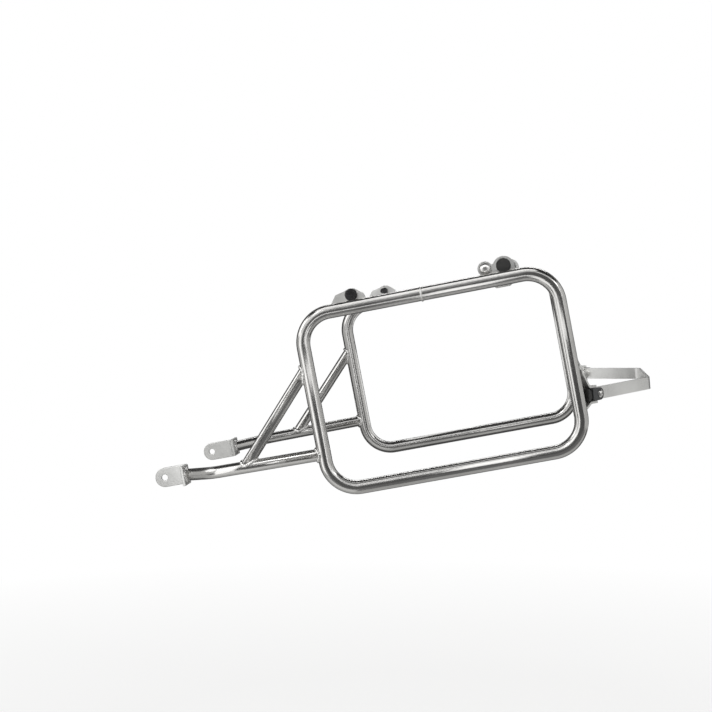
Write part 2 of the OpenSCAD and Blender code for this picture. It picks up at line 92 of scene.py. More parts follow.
# %% Colour and node helpers
def linear(hex_code):
    """Linear RGBA of an sRGB hex colour."""
    srgb = [int(hex_code[i:i + 2], 16) / 255 for i in (1, 3, 5)]
    return (*(c / 12.92 if c <= 0.04045 else ((c + 0.055) / 1.055) ** 2.4 for c in srgb), 1.0)


def add_node(tree, kind, inputs=(), stops=(), **settings):
    """A node of a kind. Inputs are (input, socket or value) pairs, stops a ramp's (place, hex)."""
    node = tree.nodes.new(kind)
    for key, value in settings.items():
        if hasattr(node, key):
            setattr(node, key, value)
    for key, value in settings.items():
        if not hasattr(node, key):
            node.inputs[key.replace("_", " ")].default_value = value
    for name, given in inputs:
        if isinstance(given, bpy.types.NodeSocket):
            tree.links.new(given, node.inputs[name])
        else:
            node.inputs[name].default_value = given
    if stops:
        for point, (place, hex_code) in zip(node.color_ramp.elements, stops):
            point.position = place
            point.color = linear(hex_code)
    return node


def new_material(name, **shader_values):
    """A material with its shader's own sockets set; returns it, its tree and its shader."""
    made = bpy.data.materials.new(name)
    made.use_nodes = True
    shader = made.node_tree.nodes["Principled BSDF"]
    for key, value in shader_values.items():
        shader.inputs[key.replace("_", " ")].default_value = value
    return made, made.node_tree, shader


print("white is", [round(c, 3) for c in linear("#ffffff")])

# %% [markdown]
# The tube is stainless steel 304, drawn, bent and belt polished along its length. What the eye
# gets from that is a mirror blurred across the tube into long bands, with fine lines along it.
# Three noises make it: the polishing lines, the cloudy patches that handling leaves, and the faint
# waves of the drawn tube. Lines and patches vary the roughness, lines and waves give relief, and
# the patches move the colour a little. Other amounts of the same three make the brushed plates.

# %% Roughness, relief and tint of steel
GRAIN = 0.35 * MM        # a polishing line, drawn coarser than the real 0.1 mm so that it shows
SMUDGE = 45 * MM         # size of the cloudy patches
WAVE = 7 * MM            # size of the faint waves
RELIEF = 0.05 * MM       # depth of lines and waves before the strength of the relief thins it


def finish_metal(tree, shader, grain_vector, soft_vector, rough, spread, bump):
    """Roughness and relief of a steel from two sets of coordinates; returns its patches."""
    lines = add_node(tree, "ShaderNodeTexNoise", [("Vector", grain_vector)],
                     Scale=1.0, Detail=3.0, Roughness=0.6)
    clouds = add_node(tree, "ShaderNodeTexNoise", [("Vector", soft_vector)],
                      Scale=1 / SMUDGE, Detail=3.0, Roughness=0.55)
    waves = add_node(tree, "ShaderNodeTexNoise", [("Vector", soft_vector)],
                     Scale=1 / WAVE, Detail=2.0, Roughness=0.5)
    cloud_share = add_node(tree, "ShaderNodeMath", [(0, clouds.outputs["Fac"]), (1, 0.4)],
                           operation="MULTIPLY")
    mixed = add_node(tree, "ShaderNodeMath",
                     [(0, lines.outputs["Fac"]), (1, 0.6), (2, cloud_share.outputs[0])],
                     operation="MULTIPLY_ADD")
    roughness = add_node(tree, "ShaderNodeMapRange", [("Value", mixed.outputs[0])],
                         From_Min=0.3, From_Max=0.7, To_Min=rough - spread, To_Max=rough + spread)
    tree.links.new(roughness.outputs["Result"], shader.inputs["Roughness"])
    scratched = add_node(tree, "ShaderNodeBump", [("Height", lines.outputs["Fac"])],
                         Strength=bump, Distance=RELIEF)
    waved = add_node(tree, "ShaderNodeBump",
                     [("Height", waves.outputs["Fac"]), ("Normal", scratched.outputs["Normal"])],
                     Strength=bump * 0.35, Distance=RELIEF)
    tree.links.new(waved.outputs["Normal"], shader.inputs["Normal"])
    return clouds


def tint(tree, shader, patches, dark, light, low=0.3, high=0.7):
    """The colour, moved a little between two tones by cloudy patches."""
    tone = add_node(tree, "ShaderNodeValToRGB", [("Fac", patches.outputs["Fac"])],
                    stops=[(low, dark), (high, light)])
    tree.links.new(tone.outputs["Color"], shader.inputs["Base Color"])


print(f"polishing lines {GRAIN / MM:g} mm wide, patches {SMUDGE / MM:g} mm, waves {WAVE / MM:g} mm")

# %% [markdown]
# A polishing line is a noise that is stretched along the steel. On a straight piece its
# coordinates are the object's own, turned so that Z runs along the piece, and then divided by the
# line's width across it and by its length along it.

# %% Grain along a straight piece
TUBE_STRETCH = 50.0      # how much longer than wide a polishing line is on a tube


def straight_coordinates(tree, direction, stretch):
    """(grain, soft) coordinates whose lines run in a direction of the row frame."""
    where = add_node(tree, "ShaderNodeTexCoord").outputs["Object"]
    turn = Vector(direction).to_track_quat("Z", "Y").to_euler()
    turned = add_node(tree, "ShaderNodeMapping", [("Vector", where)], vector_type="TEXTURE",
                      Rotation=turn)
    grain = add_node(tree, "ShaderNodeVectorMath", operation="MULTIPLY", inputs=[
        (0, turned.outputs[0]), (1, (1 / GRAIN, 1 / GRAIN, 1 / (GRAIN * stretch)))])
    return grain.outputs[0], where


print(f"a polishing line on a tube is {GRAIN * TUBE_STRETCH / MM:g} mm long")

# %% [markdown]
# On the loop the coordinates come from its shape: the distance from the centreline and the
# distance from the loop's plane stay the same all the way round, in the bends as well. The loop is
# first made level and folded into one quarter, so one sum does for the four bends, and the angle
# round a bend adds its length to the run.

# %% Grain that follows the loop
def loop_coordinates(tree):
    """(grain, soft) coordinates of the loop: the grain follows the tube round its bends."""
    where = add_node(tree, "ShaderNodeTexCoord").outputs["Object"]
    centre = to_metres @ Vector(((LOOP_FRONT + LOOP_REAR) / 2, 0, (LOOP_TOP + LOOP_BOTTOM) / 2))
    level = add_node(tree, "ShaderNodeMapping", [("Vector", where)], vector_type="TEXTURE",
                     Location=centre, Rotation=(0, -LOOP_TILT, 0))
    folded = add_node(tree, "ShaderNodeVectorMath", [(0, level.outputs[0])], operation="ABSOLUTE")
    bend_centre = Vector(((LOOP_REAR - LOOP_FRONT) / 2 - LOOP_BEND_R, LOOP_Y,
                          (LOOP_TOP - LOOP_BOTTOM) / 2 - LOOP_BEND_R)) * MM
    past = add_node(tree, "ShaderNodeVectorMath", [(0, folded.outputs[0]), (1, bend_centre)],
                    operation="SUBTRACT")
    parts = add_node(tree, "ShaderNodeSeparateXYZ", [("Vector", past.outputs[0])])
    outer_x = add_node(tree, "ShaderNodeMath", [(0, parts.outputs["X"]), (1, 0.0)],
                       operation="MAXIMUM")
    outer_z = add_node(tree, "ShaderNodeMath", [(0, parts.outputs["Z"]), (1, 0.0)],
                       operation="MAXIMUM")
    flat = add_node(tree, "ShaderNodeCombineXYZ",
                    [("X", outer_x.outputs[0]), ("Z", outer_z.outputs[0])])
    reach = add_node(tree, "ShaderNodeVectorMath", [(0, flat.outputs[0])], operation="LENGTH")
    angle = add_node(tree, "ShaderNodeMath", [(0, outer_z.outputs[0]), (1, outer_x.outputs[0])],
                     operation="ARCTAN2")
    bend_run = add_node(tree, "ShaderNodeMath", [(0, angle.outputs[0]), (1, LOOP_BEND_R * MM)],
                        operation="MULTIPLY")
    level_parts = add_node(tree, "ShaderNodeSeparateXYZ", [("Vector", level.outputs[0])])
    run = add_node(tree, "ShaderNodeMath",
                   [(0, level_parts.outputs["X"]), (1, level_parts.outputs["Z"])], operation="ADD")
    total = add_node(tree, "ShaderNodeMath", [(0, run.outputs[0]), (1, bend_run.outputs[0])],
                     operation="ADD")
    across = add_node(tree, "ShaderNodeCombineXYZ", [("X", reach.outputs["Value"]),
                                                     ("Y", parts.outputs["Y"]),
                                                     ("Z", total.outputs[0])])
    grain = add_node(tree, "ShaderNodeVectorMath", operation="MULTIPLY", inputs=[
        (0, across.outputs[0]), (1, (1 / GRAIN, 1 / GRAIN, 1 / (GRAIN * TUBE_STRETCH)))])
    return grain.outputs[0], where


print(f"the grain turns with each bend, {LOOP_BEND_R:g} mm from its centre")

# %% [markdown]
# Each strut runs forwards from the loop and turns in by its toe angle, and each brace rises from
# the strut to the loop above it. They are polished like the loop, with the lines along each
# tube's own straight run.

# %% Finishes of the tubes
TOE = math.radians(7.0)
BRACE_RUN = 107.0
BRACE_RISE = 114.0
strut_way = Vector((-math.cos(TOE), math.sin(TOE), 0))
brace_way = Vector((BRACE_RUN, -BRACE_RUN * math.tan(TOE), BRACE_RISE))


def run_direction(name):
    """Where the straight run of a strut or brace points, in the row frame."""
    turned = side_turn @ (strut_way if "strut" in name else brace_way)
    return Vector((turned.x, -turned.y, turned.z)) if name.startswith("right") else turned


def tube_material(name, direction=None):
    """Polished tube whose lines follow the loop, or run in a direction when one is given."""
    made, tree, shader = new_material(name, Metallic=1.0)
    if direction is None:
        grain, soft = loop_coordinates(tree)
    else:
        grain, soft = straight_coordinates(tree, direction, TUBE_STRETCH)
    clouds = finish_metal(tree, shader, grain, soft, rough=0.19, spread=0.03, bump=0.035)
    tint(tree, shader, clouds, "#c3c2c0", "#d4d3d1")
    return made


tube_finish = {"loop": tube_material("polished_stainless_loop")}
for name in ("left_front_strut", "right_front_strut", "left_diagonal_brace", "right_diagonal_brace"):
    tube_finish[name] = tube_material("polished_stainless_" + name, run_direction(name))
print(f"{len(tube_finish)} tube finishes")

# %% [markdown]
# The plates are cut from stainless sheet and brushed, so they are duller than the tube: the
# highlight is wide and soft, with short lines. The flat bar is brushed along its length. Bolts and
# washers are turned and tumbled bright. A weld bead is bright as well, because molten steel sets
# smooth, and its ripples are real shape, so its finish needs hardly any lines.

# %% Plates, bar and bright fasteners
def plate_material(name, direction, rough, dark, light, bump=0.5, stretch=18.0):
    """Brushed or turned steel, with its lines in one direction."""
    made, tree, shader = new_material(name, Metallic=1.0)
    grain, soft = straight_coordinates(tree, direction, stretch)
    clouds = finish_metal(tree, shader, grain, soft, rough=rough, spread=0.07, bump=bump)
    tint(tree, shader, clouds, dark, light)
    return made


ALONG_PLATE = (1, 0, 0.19)
plate_finish = plate_material("brushed_stainless_plate", ALONG_PLATE, 0.5, "#cbcbc9", "#dededc")
lug_finish = plate_material("polished_stainless_lug", ALONG_PLATE, 0.38, "#d6d6d4", "#eaeae8",
                            bump=0.3)
bar_finish = plate_material("brushed_stainless_bar", (0.2, 1, 0), 0.31, "#d8d8d6", "#eaeae8",
                            stretch=30.0)
fastener_finish = plate_material("turned_stainless", (0, 1, 0), 0.27, "#e4e3e1", "#f4f3f1",
                                 bump=0.15, stretch=4.0)
bead_finish = plate_material("tig_weld_bead", (0, 1, 0.3), 0.3, "#dbdad8", "#f1f0ee",
                             bump=0.3, stretch=1.5)
print("plate, bar, fastener and bead finishes made")

# %% [markdown]
# The buffers and bushes are black EPDM rubber out of a mould: nearly matt, with a dusty bloom that
# lifts the black a little. The clamp blocks are glass-filled nylon, with the fine spark-eroded
# grain of their mould. The front bolts are steel with a thin black coating, which shines a little
# more than the rubber and is patchy in tone.

# %% Rubber, moulded nylon and black-coated steel
PATCH = 12 * MM          # size of the patches in tone and roughness


def grained_material(name, grain_mm, dark, light, rough, spread, depth_mm, **shader_values):
    """A moulded or coated surface: fine grain in relief and patches in tone and roughness."""
    made, tree, shader = new_material(name, **shader_values)
    where = add_node(tree, "ShaderNodeTexCoord").outputs["Object"]
    grain = add_node(tree, "ShaderNodeTexNoise", [("Vector", where)],
                     Scale=1 / (grain_mm * MM), Detail=3.0, Roughness=0.6)
    patches = add_node(tree, "ShaderNodeTexNoise", [("Vector", where)],
                       Scale=1 / PATCH, Detail=4.0, Roughness=0.6)
    tint(tree, shader, patches, dark, light, low=0.35, high=0.68)
    roughness = add_node(tree, "ShaderNodeMapRange", [("Value", patches.outputs["Fac"])],
                         From_Min=0.3, From_Max=0.7, To_Min=rough - spread, To_Max=rough + spread)
    tree.links.new(roughness.outputs["Result"], shader.inputs["Roughness"])
    relief = add_node(tree, "ShaderNodeBump", [("Height", grain.outputs["Fac"])],
                      Strength=0.6, Distance=depth_mm * MM)
    tree.links.new(relief.outputs["Normal"], shader.inputs["Normal"])
    return made


rubber_finish = grained_material("epdm_rubber", 0.7, "#131313", "#232221",
                                 rough=0.56, spread=0.08, depth_mm=0.08, IOR=1.52)
nylon_finish = grained_material("glass_filled_nylon", 0.45, "#262728", "#38393b",
                                rough=0.42, spread=0.06, depth_mm=0.1, IOR=1.53)
black_bolt_finish = grained_material("black_coated_steel", 0.3, "#151516", "#2a2a2c",
                                     rough=0.27, spread=0.06, depth_mm=0.03, IOR=1.7)
print("rubber, nylon and coated steel made")

# %% [markdown]
# The CAD solids stay as they are. Each visible piece is a copy that stands for one solid: its
# loose triangles are merged, its shape is finished, and it is shaded smooth, with a crease kept
# where two faces meet at more than a given angle.


def merged_copy(node):
    """A bmesh of a CAD node with its triangles joined."""
    bm = bmesh.new()
    bm.from_mesh(nodes[node].data)
    bmesh.ops.remove_doubles(bm, verts=bm.verts, dist=0.002 * MM)
    bmesh.ops.recalc_face_normals(bm, faces=bm.faces)
    return bm


def smooth_mesh(bm, name, crease_degrees=None):
    """A mesh from a bmesh, shaded smooth up to a crease angle."""
    mesh = bpy.data.meshes.new(name)
    bm.to_mesh(mesh)
    bm.free()
    mesh.shade_smooth()
    if crease_degrees:
        mesh.set_sharp_from_angle(angle=math.radians(crease_degrees))
    return mesh


def keep_piece(name, mesh, material, node):
    """Puts a finished mesh in the scene as the piece that stands for a CAD node."""
    piece = bpy.data.objects.new(name, mesh)
    scene.collection.objects.link(piece)
    mesh.materials.append(material)
    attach(piece, "root")
    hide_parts(node)
    return piece


# %% [markdown]
# The M8 bolts have plain shanks in CAD. A thread is a groove that climbs by its pitch on each
# turn. Here the shank is cut into rings, five to a pitch, and each point moves in by how far it
# lies round the turn and along the pitch together, which gives the slope of the thread.

# %% Threads
FRONT_BOLT_X = LOOP_FRONT + 71.5
REAR_BOLT_X = LOOP_REAR - 84.5
BOLT_X = {"upper_front_bolts": FRONT_BOLT_X, "upper_rear_bolts": REAR_BOLT_X}
BOLT_RISE = 16.0         # from the top tube's centreline
SHANK_R = 4.0
PITCH = 1.25
THREAD_DEPTH = 0.6
RINGS_PER_PITCH = 5
THREAD_FROM = 5          # inwards from the tube's inner side, where the lug's plate lies
THREAD_TO = 35


def unique(parts):
    """Each part once, in the order given, which a set would not keep from run to run."""
    return list(dict.fromkeys(parts))


def is_shank(face, x, z, low, high):
    """Whether a face is part of a shank's round side, from low to high along Y or just past."""
    middle = face.calc_center_median()
    near = math.hypot(middle.x - x, middle.z - z) < (SHANK_R + 0.3) * MM
    return near and abs(face.normal.y) < 0.1 and low - 2 * MM < middle.y < high + 2 * MM


def cut_thread(bm, centre_x, centre_z, y_from, y_to):
    """Turns a plain shank along Y into a thread: rings are cut in it and moved in."""
    low, high = sorted((y_from, y_to))
    shank = [f for f in bm.faces if is_shank(f, centre_x, centre_z, low, high)]
    step = PITCH * MM / RINGS_PER_PITCH
    geom = [*shank, *unique(e for f in shank for e in f.edges),
            *unique(v for f in shank for v in f.verts)]
    for i in range(1, int((high - low) / step)):
        geom = bmesh.ops.bisect_plane(bm, geom=geom, dist=1e-7, plane_co=(0, low + i * step, 0),
                                      plane_no=(0, 1, 0))["geom"]
    moved = 0
    for v in bm.verts:
        x, z = v.co.x - centre_x, v.co.z - centre_z
        on_skin = abs(math.hypot(x, z) - SHANK_R * MM) < 0.05 * MM
        if on_skin and low + step / 2 < v.co.y < high - step / 2:
            turn = math.atan2(z, x) / (2 * math.pi)
            phase = ((v.co.y - low) / (PITCH * MM) + turn) % 1.0
            shrink = 1.0 - THREAD_DEPTH / SHANK_R * (1.0 - abs(2 * phase - 1))
            v.co.x, v.co.z = centre_x + x * shrink, centre_z + z * shrink
            moved += 1
    return moved


def thread_bolts(bm, node):
    """Threads the shanks of both bolts in a node."""
    middle = to_metres @ Vector((BOLT_X[node], 0, LOOP_TOP + BOLT_RISE))
    for way in (-1, 1):
        count = cut_thread(bm, middle.x, middle.z, way * (LOOP_Y - TUBE_R - THREAD_FROM) * MM,
                           way * (LOOP_Y - TUBE_R - THREAD_TO) * MM)
        print(f"{node}: {count} points of the thread moved")


print(f"the thread has a pitch of {PITCH:g} mm")

# %% [markdown]
# A real plate has no knife edges: cutting and tumbling leave a small radius, and it is that radius
# that catches the light. The flat faces of the copy are made whole again, and a bevel rounds what
# is left of the sharp edges. Weighted normals keep the flats flat beside the bevel.

# %% Rounded plates, bar, fasteners and mouldings
FLAT_WITHIN = math.radians(0.6)
SHARP_FROM = math.radians(38)


def rounded(node, radius_mm, material):
    """A copy of a CAD node with its sharp edges rounded."""
    bm = merged_copy(node)
    bmesh.ops.dissolve_limit(bm, angle_limit=FLAT_WITHIN, use_dissolve_boundaries=False,
                             verts=bm.verts, edges=bm.edges, delimit={"NORMAL"})
    sharp = [e for e in bm.edges if e.is_manifold and e.calc_face_angle(0.0) > SHARP_FROM]
    bmesh.ops.bevel(bm, geom=sharp, affect="EDGES", offset_type="OFFSET", offset=radius_mm * MM,
                    segments=3, profile=0.5, material=-1, clamp_overlap=True)
    if node in BOLT_X:
        thread_bolts(bm, node)
    piece = keep_piece(node + "_finished", smooth_mesh(bm, node, 32), material, node)
    weighted = piece.modifiers.new("even_flats", "WEIGHTED_NORMAL")
    weighted.keep_sharp = True
    return piece


# Radius in mm and finish, by a word in the node's name.
ROUNDING = {
    "bush": (1.0, rubber_finish),
    "buffer": (1.0, rubber_finish),
    "clamp_block": (0.7, nylon_finish),
    "flange": (0.9, plate_finish),
    "front_lug": (0.9, plate_finish),
    "rear_lug": (1.3, lug_finish),
    "bracket": (0.6, plate_finish),
    "cross_brace": (1.3, bar_finish),
    "washers": (0.2, fastener_finish),
    "nuts": (0.3, fastener_finish),
    "clamp_screws": (0.15, fastener_finish),
    "rear_bolts": (0.2, fastener_finish),
    "front_bolts": (0.4, black_bolt_finish),
}
for node in sorted(nodes):
    word = next((w for w in ROUNDING if w in node), None)
    if word:
        piece = rounded(node, *ROUNDING[word])
        print(f"{piece.name}: {len(piece.data.polygons)} faces")

# %% [markdown]
# The tubes keep their shape from the frame. A copy with merged vertices is shaded smooth, so that
# the bands of light run along the tube unbroken.

# %% Tubes
for node in sorted(nodes):
    finish = tube_finish.get("loop" if node.endswith("loop_tube") else node)
    if finish:
        keep_piece(node + "_polished", smooth_mesh(merged_copy(node), node, 30), finish, node)
        print(f"{node} polished")

# %% [markdown]
# A weld runs where two pieces meet. For two round tubes that line is found point by point: from a
# place on the first tube's wall, the walk goes along that tube until the other tube's skin is
# reached, which is where a line meets a cylinder.

# %% Where one tube meets another
ROUND_STEPS = 96


def tube_seam(head, direction, radius, other_point, other_axis, other_radius):
    """The closed line where a tube from head along direction leaves another tube's skin."""
    d = Vector(direction).normalized()
    q = Vector(other_axis).normalized()
    u = d.cross(q).normalized()
    v = d.cross(u)
    line = []
    for i in range(ROUND_STEPS):
        a = 2 * math.pi * i / ROUND_STEPS
        start = Vector(head) + radius * (math.cos(a) * u + math.sin(a) * v)
        w0 = start - Vector(other_point)
        w0 -= w0.dot(q) * q
        w1 = d - d.dot(q) * q
        b = w0.dot(w1) / w1.length_squared
        c = (w0.length_squared - other_radius ** 2) / w1.length_squared
        line.append(start + (-b + math.sqrt(max(b * b - c, 0.0))) * d)
    return line


print(f"{ROUND_STEPS} points on each line round a tube")

# %% [markdown]
# Each side has a strut that meets the loop, and a brace that meets the loop and the strut. In
# front the strut is bent inwards and ends on the flat flange: there the same walk ends on a
# plane, and the line is an ellipse.

# %% Weld lines round the tubes
STRUT_R = 8.0
BRACE_R = 7.5
STRUT_RUN = 142.0        # from the loop to the strut's bend
STRUT_BEND_R = 36.0
STRUT_BEND = math.atan2(3, 4)
FLANGE_REACH = 35.0      # from the fixing axis back to the flange's folded leg
UP = Vector((0, 0, 1))
front_foot = Vector((LOOP_FRONT, -LOOP_Y, 0))
brace_foot = Vector((LOOP_FRONT - BRACE_RUN, -LOOP_Y + BRACE_RUN * math.tan(TOE), 0))
brace_head = Vector((LOOP_FRONT, -LOOP_Y, BRACE_RISE))
strut_turn = front_foot + strut_way * (STRUT_RUN + STRUT_BEND_R * math.tan(STRUT_BEND / 2))
front_way = Matrix.Rotation(-STRUT_BEND, 3, "Z") @ strut_way
side_way = UP.cross(front_way)
at_flange = []
for i in range(ROUND_STEPS):
    a = 2 * math.pi * i / ROUND_STEPS
    start = strut_turn + STRUT_R * (math.cos(a) * side_way + math.sin(a) * UP)
    at_flange.append(start + front_way * ((FLANGE_REACH - start.x) / front_way.x))
round_seams = [
    tube_seam(front_foot, strut_way, STRUT_R, front_foot, UP, TUBE_R),
    tube_seam(brace_head, brace_foot - brace_head, BRACE_R, front_foot, UP, TUBE_R),
    tube_seam(brace_foot, brace_head - brace_foot, BRACE_R, front_foot, strut_way, STRUT_R),
    at_flange,
]
print(f"{len(round_seams)} weld lines round the tubes")

# %% [markdown]
# The lugs have straight beads along the tube, in the two corners between the plate and the round
# of the tube, above and below the line of contact. The loop itself is one tube whose ends meet in
# a butt weld in the top run: a low ring, half sunk in the skin.

# %% Weld lines of the lugs and of the loop's ends
BUSH_X = REAR_BOLT_X + 23.5
BUTT_X = LOOP_FRONT + 161.0
BUTT_R = TUBE_R - 0.4
BUTT_STEPS = 72
LUG_STEPS = 40
LUG_BEAD_Y = -(LOOP_Y - TUBE_R) - 0.9
LUG_BEAD_RISE = 4.6      # above and below the tube's centreline


def lug_line(x_from, x_to, z):
    """Points along a lug's bead, at even steps."""
    start, end = Vector((x_from, LUG_BEAD_Y, z)), Vector((x_to, LUG_BEAD_Y, z))
    return [start.lerp(end, i / LUG_STEPS) for i in range(LUG_STEPS + 1)]


lug_seams = []
for x_from, x_to in ((FRONT_BOLT_X - 21, FRONT_BOLT_X + 12), (BUSH_X - 11, BUSH_X + 8)):
    for z in (LOOP_TOP - LUG_BEAD_RISE, LOOP_TOP + LUG_BEAD_RISE):
        lug_seams.append(lug_line(x_from, x_to, z))
butt_angles = [2 * math.pi * i / BUTT_STEPS for i in range(BUTT_STEPS)]
butt_seam = [Vector((BUTT_X, -LOOP_Y + BUTT_R * math.cos(a), LOOP_TOP + BUTT_R * math.sin(a)))
             for a in butt_angles]
print(f"{len(lug_seams)} straight weld lines, and the butt weld")

# %% [markdown]
# A TIG bead is laid as a row of small overlapping pools, and its edge wanders a little. So a weld
# line is first walked in even steps, five to a pool, and each step gets a thickness.

# %% Steps and pools
POOL = 2.2               # length of one pool in mm, coarser than the real 1.5 so that it shows
STEPS_PER_POOL = 5


def even_steps(line, closed, step):
    """Points at even steps along a line."""
    pts = line + line[:1] if closed else line
    total = sum((b - a).length for a, b in zip(pts, pts[1:]))
    count = round(total / step)
    out, walked, k = [], 0.0, 0
    for i in range(count + (0 if closed else 1)):
        target = total * i / count
        while k < len(pts) - 2 and walked + (pts[k + 1] - pts[k]).length < target:
            walked += (pts[k + 1] - pts[k]).length
            k += 1
        seg = (pts[k + 1] - pts[k]).length
        out.append(pts[k].lerp(pts[k + 1], min(1.0, (target - walked) / seg)))
    return out


def pool_size(i, seed):
    """The bead's thickness at a step, as a share of its radius: each pool swells, and all wander."""
    swell = 0.91 + 0.13 * math.sin(math.pi * (i % STEPS_PER_POOL) / STEPS_PER_POOL) ** 0.7
    pools = i / STEPS_PER_POOL
    wander = 0.08 * math.sin(0.9 * pools + seed) + 0.05 * math.sin(2.3 * pools + 2 * seed)
    return swell * (1.0 + wander)


print(f"a pool is {POOL:g} mm long")

# %% [markdown]
# Each bead is a circle that is extruded from step to step along its line, turned to face along it,
# and scaled to the thickness of the step. A closed line ends in a bridge back to the first circle,
# an open one in a filled end.

# %% A bead along a line
BEAD_SIDES = 10
END_SIZE = 0.45          # the first and last circle of an open bead are smaller by this


def lay_bead(bm, line, closed, radius, seed):
    """Extrudes a circle along a line, swelling it at each pool of the weld."""
    pts = even_steps(line, closed, POOL / STEPS_PER_POOL)
    count = len(pts)
    made = bmesh.ops.create_circle(bm, cap_ends=not closed, segments=BEAD_SIDES, radius=1.0)
    ring_verts = made["verts"]
    ring_edges = unique(e for v in ring_verts for e in v.link_edges)
    first_edges = ring_edges
    previous = Matrix.Identity(4)
    for i, p in enumerate(pts):
        ahead = pts[(i + 1) % count] if closed or i + 1 < count else p
        behind = pts[i - 1] if closed or i > 0 else p
        facing = (ahead - behind).normalized().to_track_quat("Z", "Y").to_matrix().to_4x4()
        size = radius * pool_size(i, seed)
        if not closed and i in (0, count - 1):
            size *= END_SIZE
        place = Matrix.Translation(p) @ facing @ Matrix.Diagonal((size, size, size, 1))
        if i:
            grown = bmesh.ops.extrude_edge_only(bm, edges=ring_edges)
            ring_verts = [g for g in grown["geom"] if isinstance(g, bmesh.types.BMVert)]
            ring_edges = [g for g in grown["geom"] if isinstance(g, bmesh.types.BMEdge)
                          and g.verts[0] in ring_verts and g.verts[1] in ring_verts]
        bmesh.ops.transform(bm, matrix=place @ previous.inverted(), verts=ring_verts)
        previous = place
    if closed:
        bmesh.ops.bridge_loops(bm, edges=first_edges + ring_edges)
    else:
        bmesh.ops.holes_fill(bm, edges=ring_edges, sides=0)


print(f"a bead has {BEAD_SIDES} sides")

# %% [markdown]
# The rear bracket's web meets the rear tube in two more straight beads. The bracket points along
# its arm of the bar, not square to the loop, so those beads are worked out in the arm's frame.
# The right side is the left one mirrored: a negative scale turns the faces inside out, so their
# normals are made to point outwards again.

# %% Beads of both sides
BEAD_R = 2.5
LUG_BEAD_R = 1.9
BUTT_BEAD_R = 1.3
BRACKET_BEAD_R = 1.7
BRACKET_BEADS = ((1.2, 0.4), (5.8, 1.9))     # place across the arm in mm, and seed
BRACKET_HEIGHTS = range(-14, 23)             # along the rear tube, in mm
BAR_RISE = 14.0
BAR_TILT = math.radians(5.3)
BAR_HALF = 102.5
BAR_REACH = 98.0


def lay_bracket_beads(bm):
    """The two beads on the left rear tube; they follow the tube and sit beside the web."""
    turn = math.atan2(LOOP_Y - BAR_HALF, BAR_REACH)
    base = Vector((LOOP_REAR, 0, BAR_RISE))
    arm = (side_turn @ Matrix.Translation(base) @ Matrix.Rotation(LOOP_TILT - BAR_TILT, 4, "Y")
           @ Matrix.Translation((0, -LOOP_Y, 0)) @ Matrix.Rotation(turn, 4, "Z"))
    along_tube = (Matrix.Rotation(-turn, 3, "Z") @ Matrix.Rotation(BAR_TILT - LOOP_TILT, 3, "Y")) @ UP
    for y, seed in BRACKET_BEADS:
        centre = Vector((math.sqrt(TUBE_R ** 2 - y ** 2), y, 0))
        line = [arm @ (centre + along_tube * h) for h in BRACKET_HEIGHTS]
        start = len(bm.verts)
        lay_bead(bm, line, False, BRACKET_BEAD_R, seed)
        bm.verts.ensure_lookup_table()
        bmesh.ops.scale(bm, vec=(MM, MM, MM), verts=bm.verts[start:])


for side in ("left", "right"):
    bm = bmesh.new()
    for order, line in enumerate(round_seams):
        lay_bead(bm, line, True, BEAD_R, seed=order * 1.7)
    for order, line in enumerate(lug_seams):
        lay_bead(bm, line, False, LUG_BEAD_R, seed=order * 2.3)
    lay_bead(bm, butt_seam, True, BUTT_BEAD_R, seed=4.0)
    bmesh.ops.transform(bm, matrix=to_metres, verts=bm.verts)
    lay_bracket_beads(bm)
    if side == "right":
        bmesh.ops.scale(bm, vec=(1, -1, 1), verts=bm.verts)
    bmesh.ops.recalc_face_normals(bm, faces=bm.faces)
    mesh = smooth_mesh(bm, side + "_weld_ripples")
    piece = keep_piece(side + "_weld_ripples", mesh, bead_finish, side + "_weld_beads")
    print(f"{piece.name}: {len(piece.data.polygons)} faces")

# %% [markdown]
# The floor is pale and plain, and far from the object it turns into the white of the backdrop, so
# that no horizon shows. That is a mix of a matt surface and a white glow, whose share grows with
# the distance from the frame. Reflections and the camera see the glow, other light the surface.

# %% Floor
FLOOR_MIDDLE = (0.33, 0.0, -0.42)


def card(name, centre, size, towards, material, roll=0.0):
    """A flat square card, turned to face a point, and rolled about that line."""
    bm = bmesh.new()
    bmesh.ops.create_grid(bm, x_segments=1, y_segments=1, size=0.5)
    facing = (Vector(towards) - Vector(centre)).to_track_quat("Z", "Y").to_matrix().to_4x4()
    place = (Matrix.Translation(centre) @ facing @ Matrix.Rotation(roll, 4, "Z")
             @ Matrix.Diagonal((size[0], size[1], 1, 1)))
    bmesh.ops.transform(bm, matrix=place, verts=bm.verts)
    mesh = bpy.data.meshes.new(name)
    bm.to_mesh(mesh)
    bm.free()
    made = bpy.data.objects.new(name, mesh)
    mesh.materials.append(material)
    scene.collection.objects.link(made)
    return made


floor_finish, tree, shader = new_material("pale_floor", Roughness=0.9, Specular_IOR_Level=0.1)
shader.inputs["Base Color"].default_value = linear("#f2f2f1")
where = add_node(tree, "ShaderNodeTexCoord").outputs["Object"]
distance = add_node(tree, "ShaderNodeVectorMath", [(0, where), (1, FLOOR_MIDDLE)],
                    operation="DISTANCE")
fade = add_node(tree, "ShaderNodeMapRange", [("Value", distance.outputs["Value"])],
                From_Min=0.5, From_Max=1.6, To_Min=0.55, To_Max=1.0)
rays = add_node(tree, "ShaderNodeLightPath")
seen = add_node(tree, "ShaderNodeMath", operation="MAXIMUM", inputs=[
    (0, rays.outputs["Is Camera Ray"]), (1, rays.outputs["Is Glossy Ray"])])
amount = add_node(tree, "ShaderNodeMath", [(0, fade.outputs["Result"]), (1, seen.outputs[0])],
                  operation="MULTIPLY")
glow = add_node(tree, "ShaderNodeEmission", Color=linear("#ffffff"), Strength=1.0)
